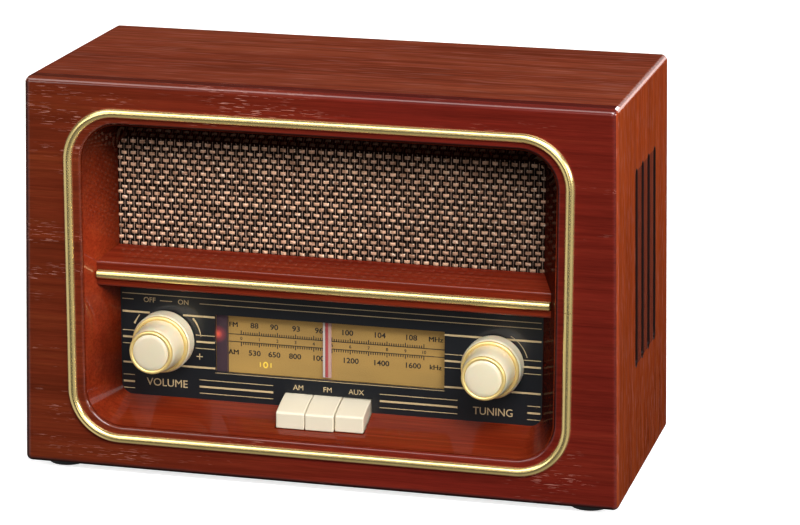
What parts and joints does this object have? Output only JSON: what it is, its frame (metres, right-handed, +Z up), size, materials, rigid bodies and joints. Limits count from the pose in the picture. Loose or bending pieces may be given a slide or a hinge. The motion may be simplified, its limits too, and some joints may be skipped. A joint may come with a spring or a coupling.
{
  "type": "tabletop radio",
  "caption": "Wooden tabletop radio with a recessed front, brass trim, woven grille, cord-driven dial, stepped knobs and band keys.",
  "frame": {"origin": "middle of the footprint, on the table", "axes": "+X to the right seen from the front, +Y to the back, +Z up"},
  "size_m": [0.284, 0.1342, 0.1884],
  "materials": {
    "front_veneer": "dark red-brown veneer, grain along the width, gloss lacquer",
    "top_veneer": "red-brown veneer, gloss lacquer",
    "side_veneer": "orange-brown veneer, gloss lacquer",
    "bottom_wood": "plain fibreboard stained brown",
    "gloss_wood": "stained wood under thick gloss lacquer",
    "brass_trim": "bright drawn brass tube",
    "hardboard": "black painted hardboard",
    "steel": "bright zinc plate",
    "rubber": "matt black",
    "grille_cloth": "coarse tan and black basket weave",
    "fibreboard": "raw fibreboard",
    "speaker_frame": "black paint",
    "speaker_cone": null,
    "magnet": "ferrite",
    "black_panel": "glossy black with tan printed lines",
    "clear_window": "clear acrylic",
    "scale": "translucent amber with black print",
    "white_plastic": "moulded white",
    "warm_lamp": "warm white light emitting diodes",
    "red_lamp": "smoked holder with a red lamp",
    "pointer_acrylic": "clear acrylic with a red line",
    "cord": "braided dial cord",
    "capacitor_plastic": "pale moulded case",
    "brass_parts": "turned brass",
    "ivory": "ivory moulded plastic",
    "gold_rings": "gold plated plastic ring",
    "dark_plastic": "moulded dark plastic",
    "circuit_board": "green laminate",
    "transformer_iron": "varnished laminations",
    "wire": "red insulation"
  },
  "bodies": {
    "cabinet": {"top_panel": "top_veneer", "bottom_panel": "bottom_wood", "left_side_panel": "side_veneer", "right_side_panel": "side_veneer", "front_panel": "front_veneer", "bezel_frame": "gloss_wood", "trim_ring": "brass_trim", "trim_rod": "brass_trim", "rear_cover": "hardboard", "wood_screws": "steel", "rubber_feet": "rubber", "grille_cloth": "grille_cloth", "speaker_baffle": "fibreboard", "left_speaker_frame": "speaker_frame", "left_speaker_cone": "speaker_cone", "left_speaker_magnet": "magnet", "right_speaker_frame": "speaker_frame", "right_speaker_cone": "speaker_cone", "right_speaker_magnet": "magnet", "dial_panel": "black_panel", "dial_window": "clear_window", "scale_plate": "scale", "light_box": "white_plastic", "scale_lamps": "warm_lamp", "power_lamp": "red_lamp", "pointer_rail": "steel", "dial_cord": "cord", "pulley_pins": "steel", "tuning_capacitor": "capacitor_plastic", "spindle_bush": "brass_parts", "volume_control": "dark_plastic", "volume_control_nut": "steel", "dial_chassis": "steel", "chassis_spacers": "brass_parts", "am_key_spring": "steel", "fm_key_spring": "steel", "aux_key_spring": "steel", "selector_switch": "dark_plastic", "main_board": "circuit_board", "transformer": "transformer_iron", "ferrite_aerial": "magnet", "mains_inlet": "dark_plastic", "aux_jack": "dark_plastic", "aerial_socket": "steel", "wiring": "wire"},
    "volume": {"volume_knob": "ivory", "volume_knob_rings": "gold_rings", "volume_knob_cap": "ivory", "volume_shaft": "steel"},
    "tuning": {"tuning_knob": "ivory", "tuning_knob_rings": "gold_rings", "tuning_knob_cap": "ivory", "tuning_spindle": "steel"},
    "needle": {"pointer": "pointer_acrylic"},
    "drum": {"tuning_drum": "white_plastic"},
    "left_wheel": {"left_pulley": "white_plastic"},
    "right_wheel": {"right_pulley": "white_plastic"},
    "am": {"am_key": "ivory"},
    "fm": {"fm_key": "ivory"},
    "aux": {"aux_key": "ivory"}
  },
  "joints": [
    {"name": "volume_turn", "type": "hinge", "parent": "cabinet", "child": "volume", "pos_m": [-0.0789, -0.035, 0.061], "axis": [0, 1, 0], "range_deg": [-150, 150]},
    {"name": "tuning_turn", "type": "hinge", "parent": "cabinet", "child": "tuning", "pos_m": [0.0789, -0.035, 0.061], "axis": [0, 1, 0], "range_deg": [-583, 668]},
    {"name": "pointer_slide", "type": "slide", "parent": "cabinet", "child": "needle", "axis": [1, 0, 0], "range_m": [-0.041, 0.04694]},
    {"name": "drum_turn", "type": "hinge", "parent": "cabinet", "child": "drum", "pos_m": [0, -0.013, 0.049], "axis": [0, 1, 0], "range_deg": [-84.73, 96.94]},
    {"name": "left_pulley_turn", "type": "hinge", "parent": "cabinet", "child": "left_wheel", "pos_m": [-0.066, -0.013, 0.08], "axis": [0, 1, 0], "range_deg": [-468.4, 536.4]},
    {"name": "right_pulley_turn", "type": "hinge", "parent": "cabinet", "child": "right_wheel", "pos_m": [0.066, -0.013, 0.08], "axis": [0, 1, 0], "range_deg": [-468.4, 536.4]},
    {"name": "am_press", "type": "slide", "parent": "cabinet", "child": "am", "axis": [0, 1, 0], "range_m": [0, 0.004], "stiffness_N_per_m": 300, "deforming": ["am_key_spring"]},
    {"name": "fm_press", "type": "slide", "parent": "cabinet", "child": "fm", "axis": [0, 1, 0], "range_m": [0, 0.004], "stiffness_N_per_m": 300, "deforming": ["fm_key_spring"]},
    {"name": "aux_press", "type": "slide", "parent": "cabinet", "child": "aux", "axis": [0, 1, 0], "range_m": [-0.0016, 0.0024], "stiffness_N_per_m": 300, "deforming": ["aux_key_spring"]}
  ],
  "couplings": [
    {"joint": "pointer_slide", "follows": "tuning_turn", "m_per_rad": 0.004},
    {"joint": "drum_turn", "follows": "tuning_turn", "ratio": 0.14363},
    {"joint": "left_pulley_turn", "follows": "tuning_turn", "ratio": 0.8},
    {"joint": "right_pulley_turn", "follows": "tuning_turn", "ratio": 0.8}
  ]
}
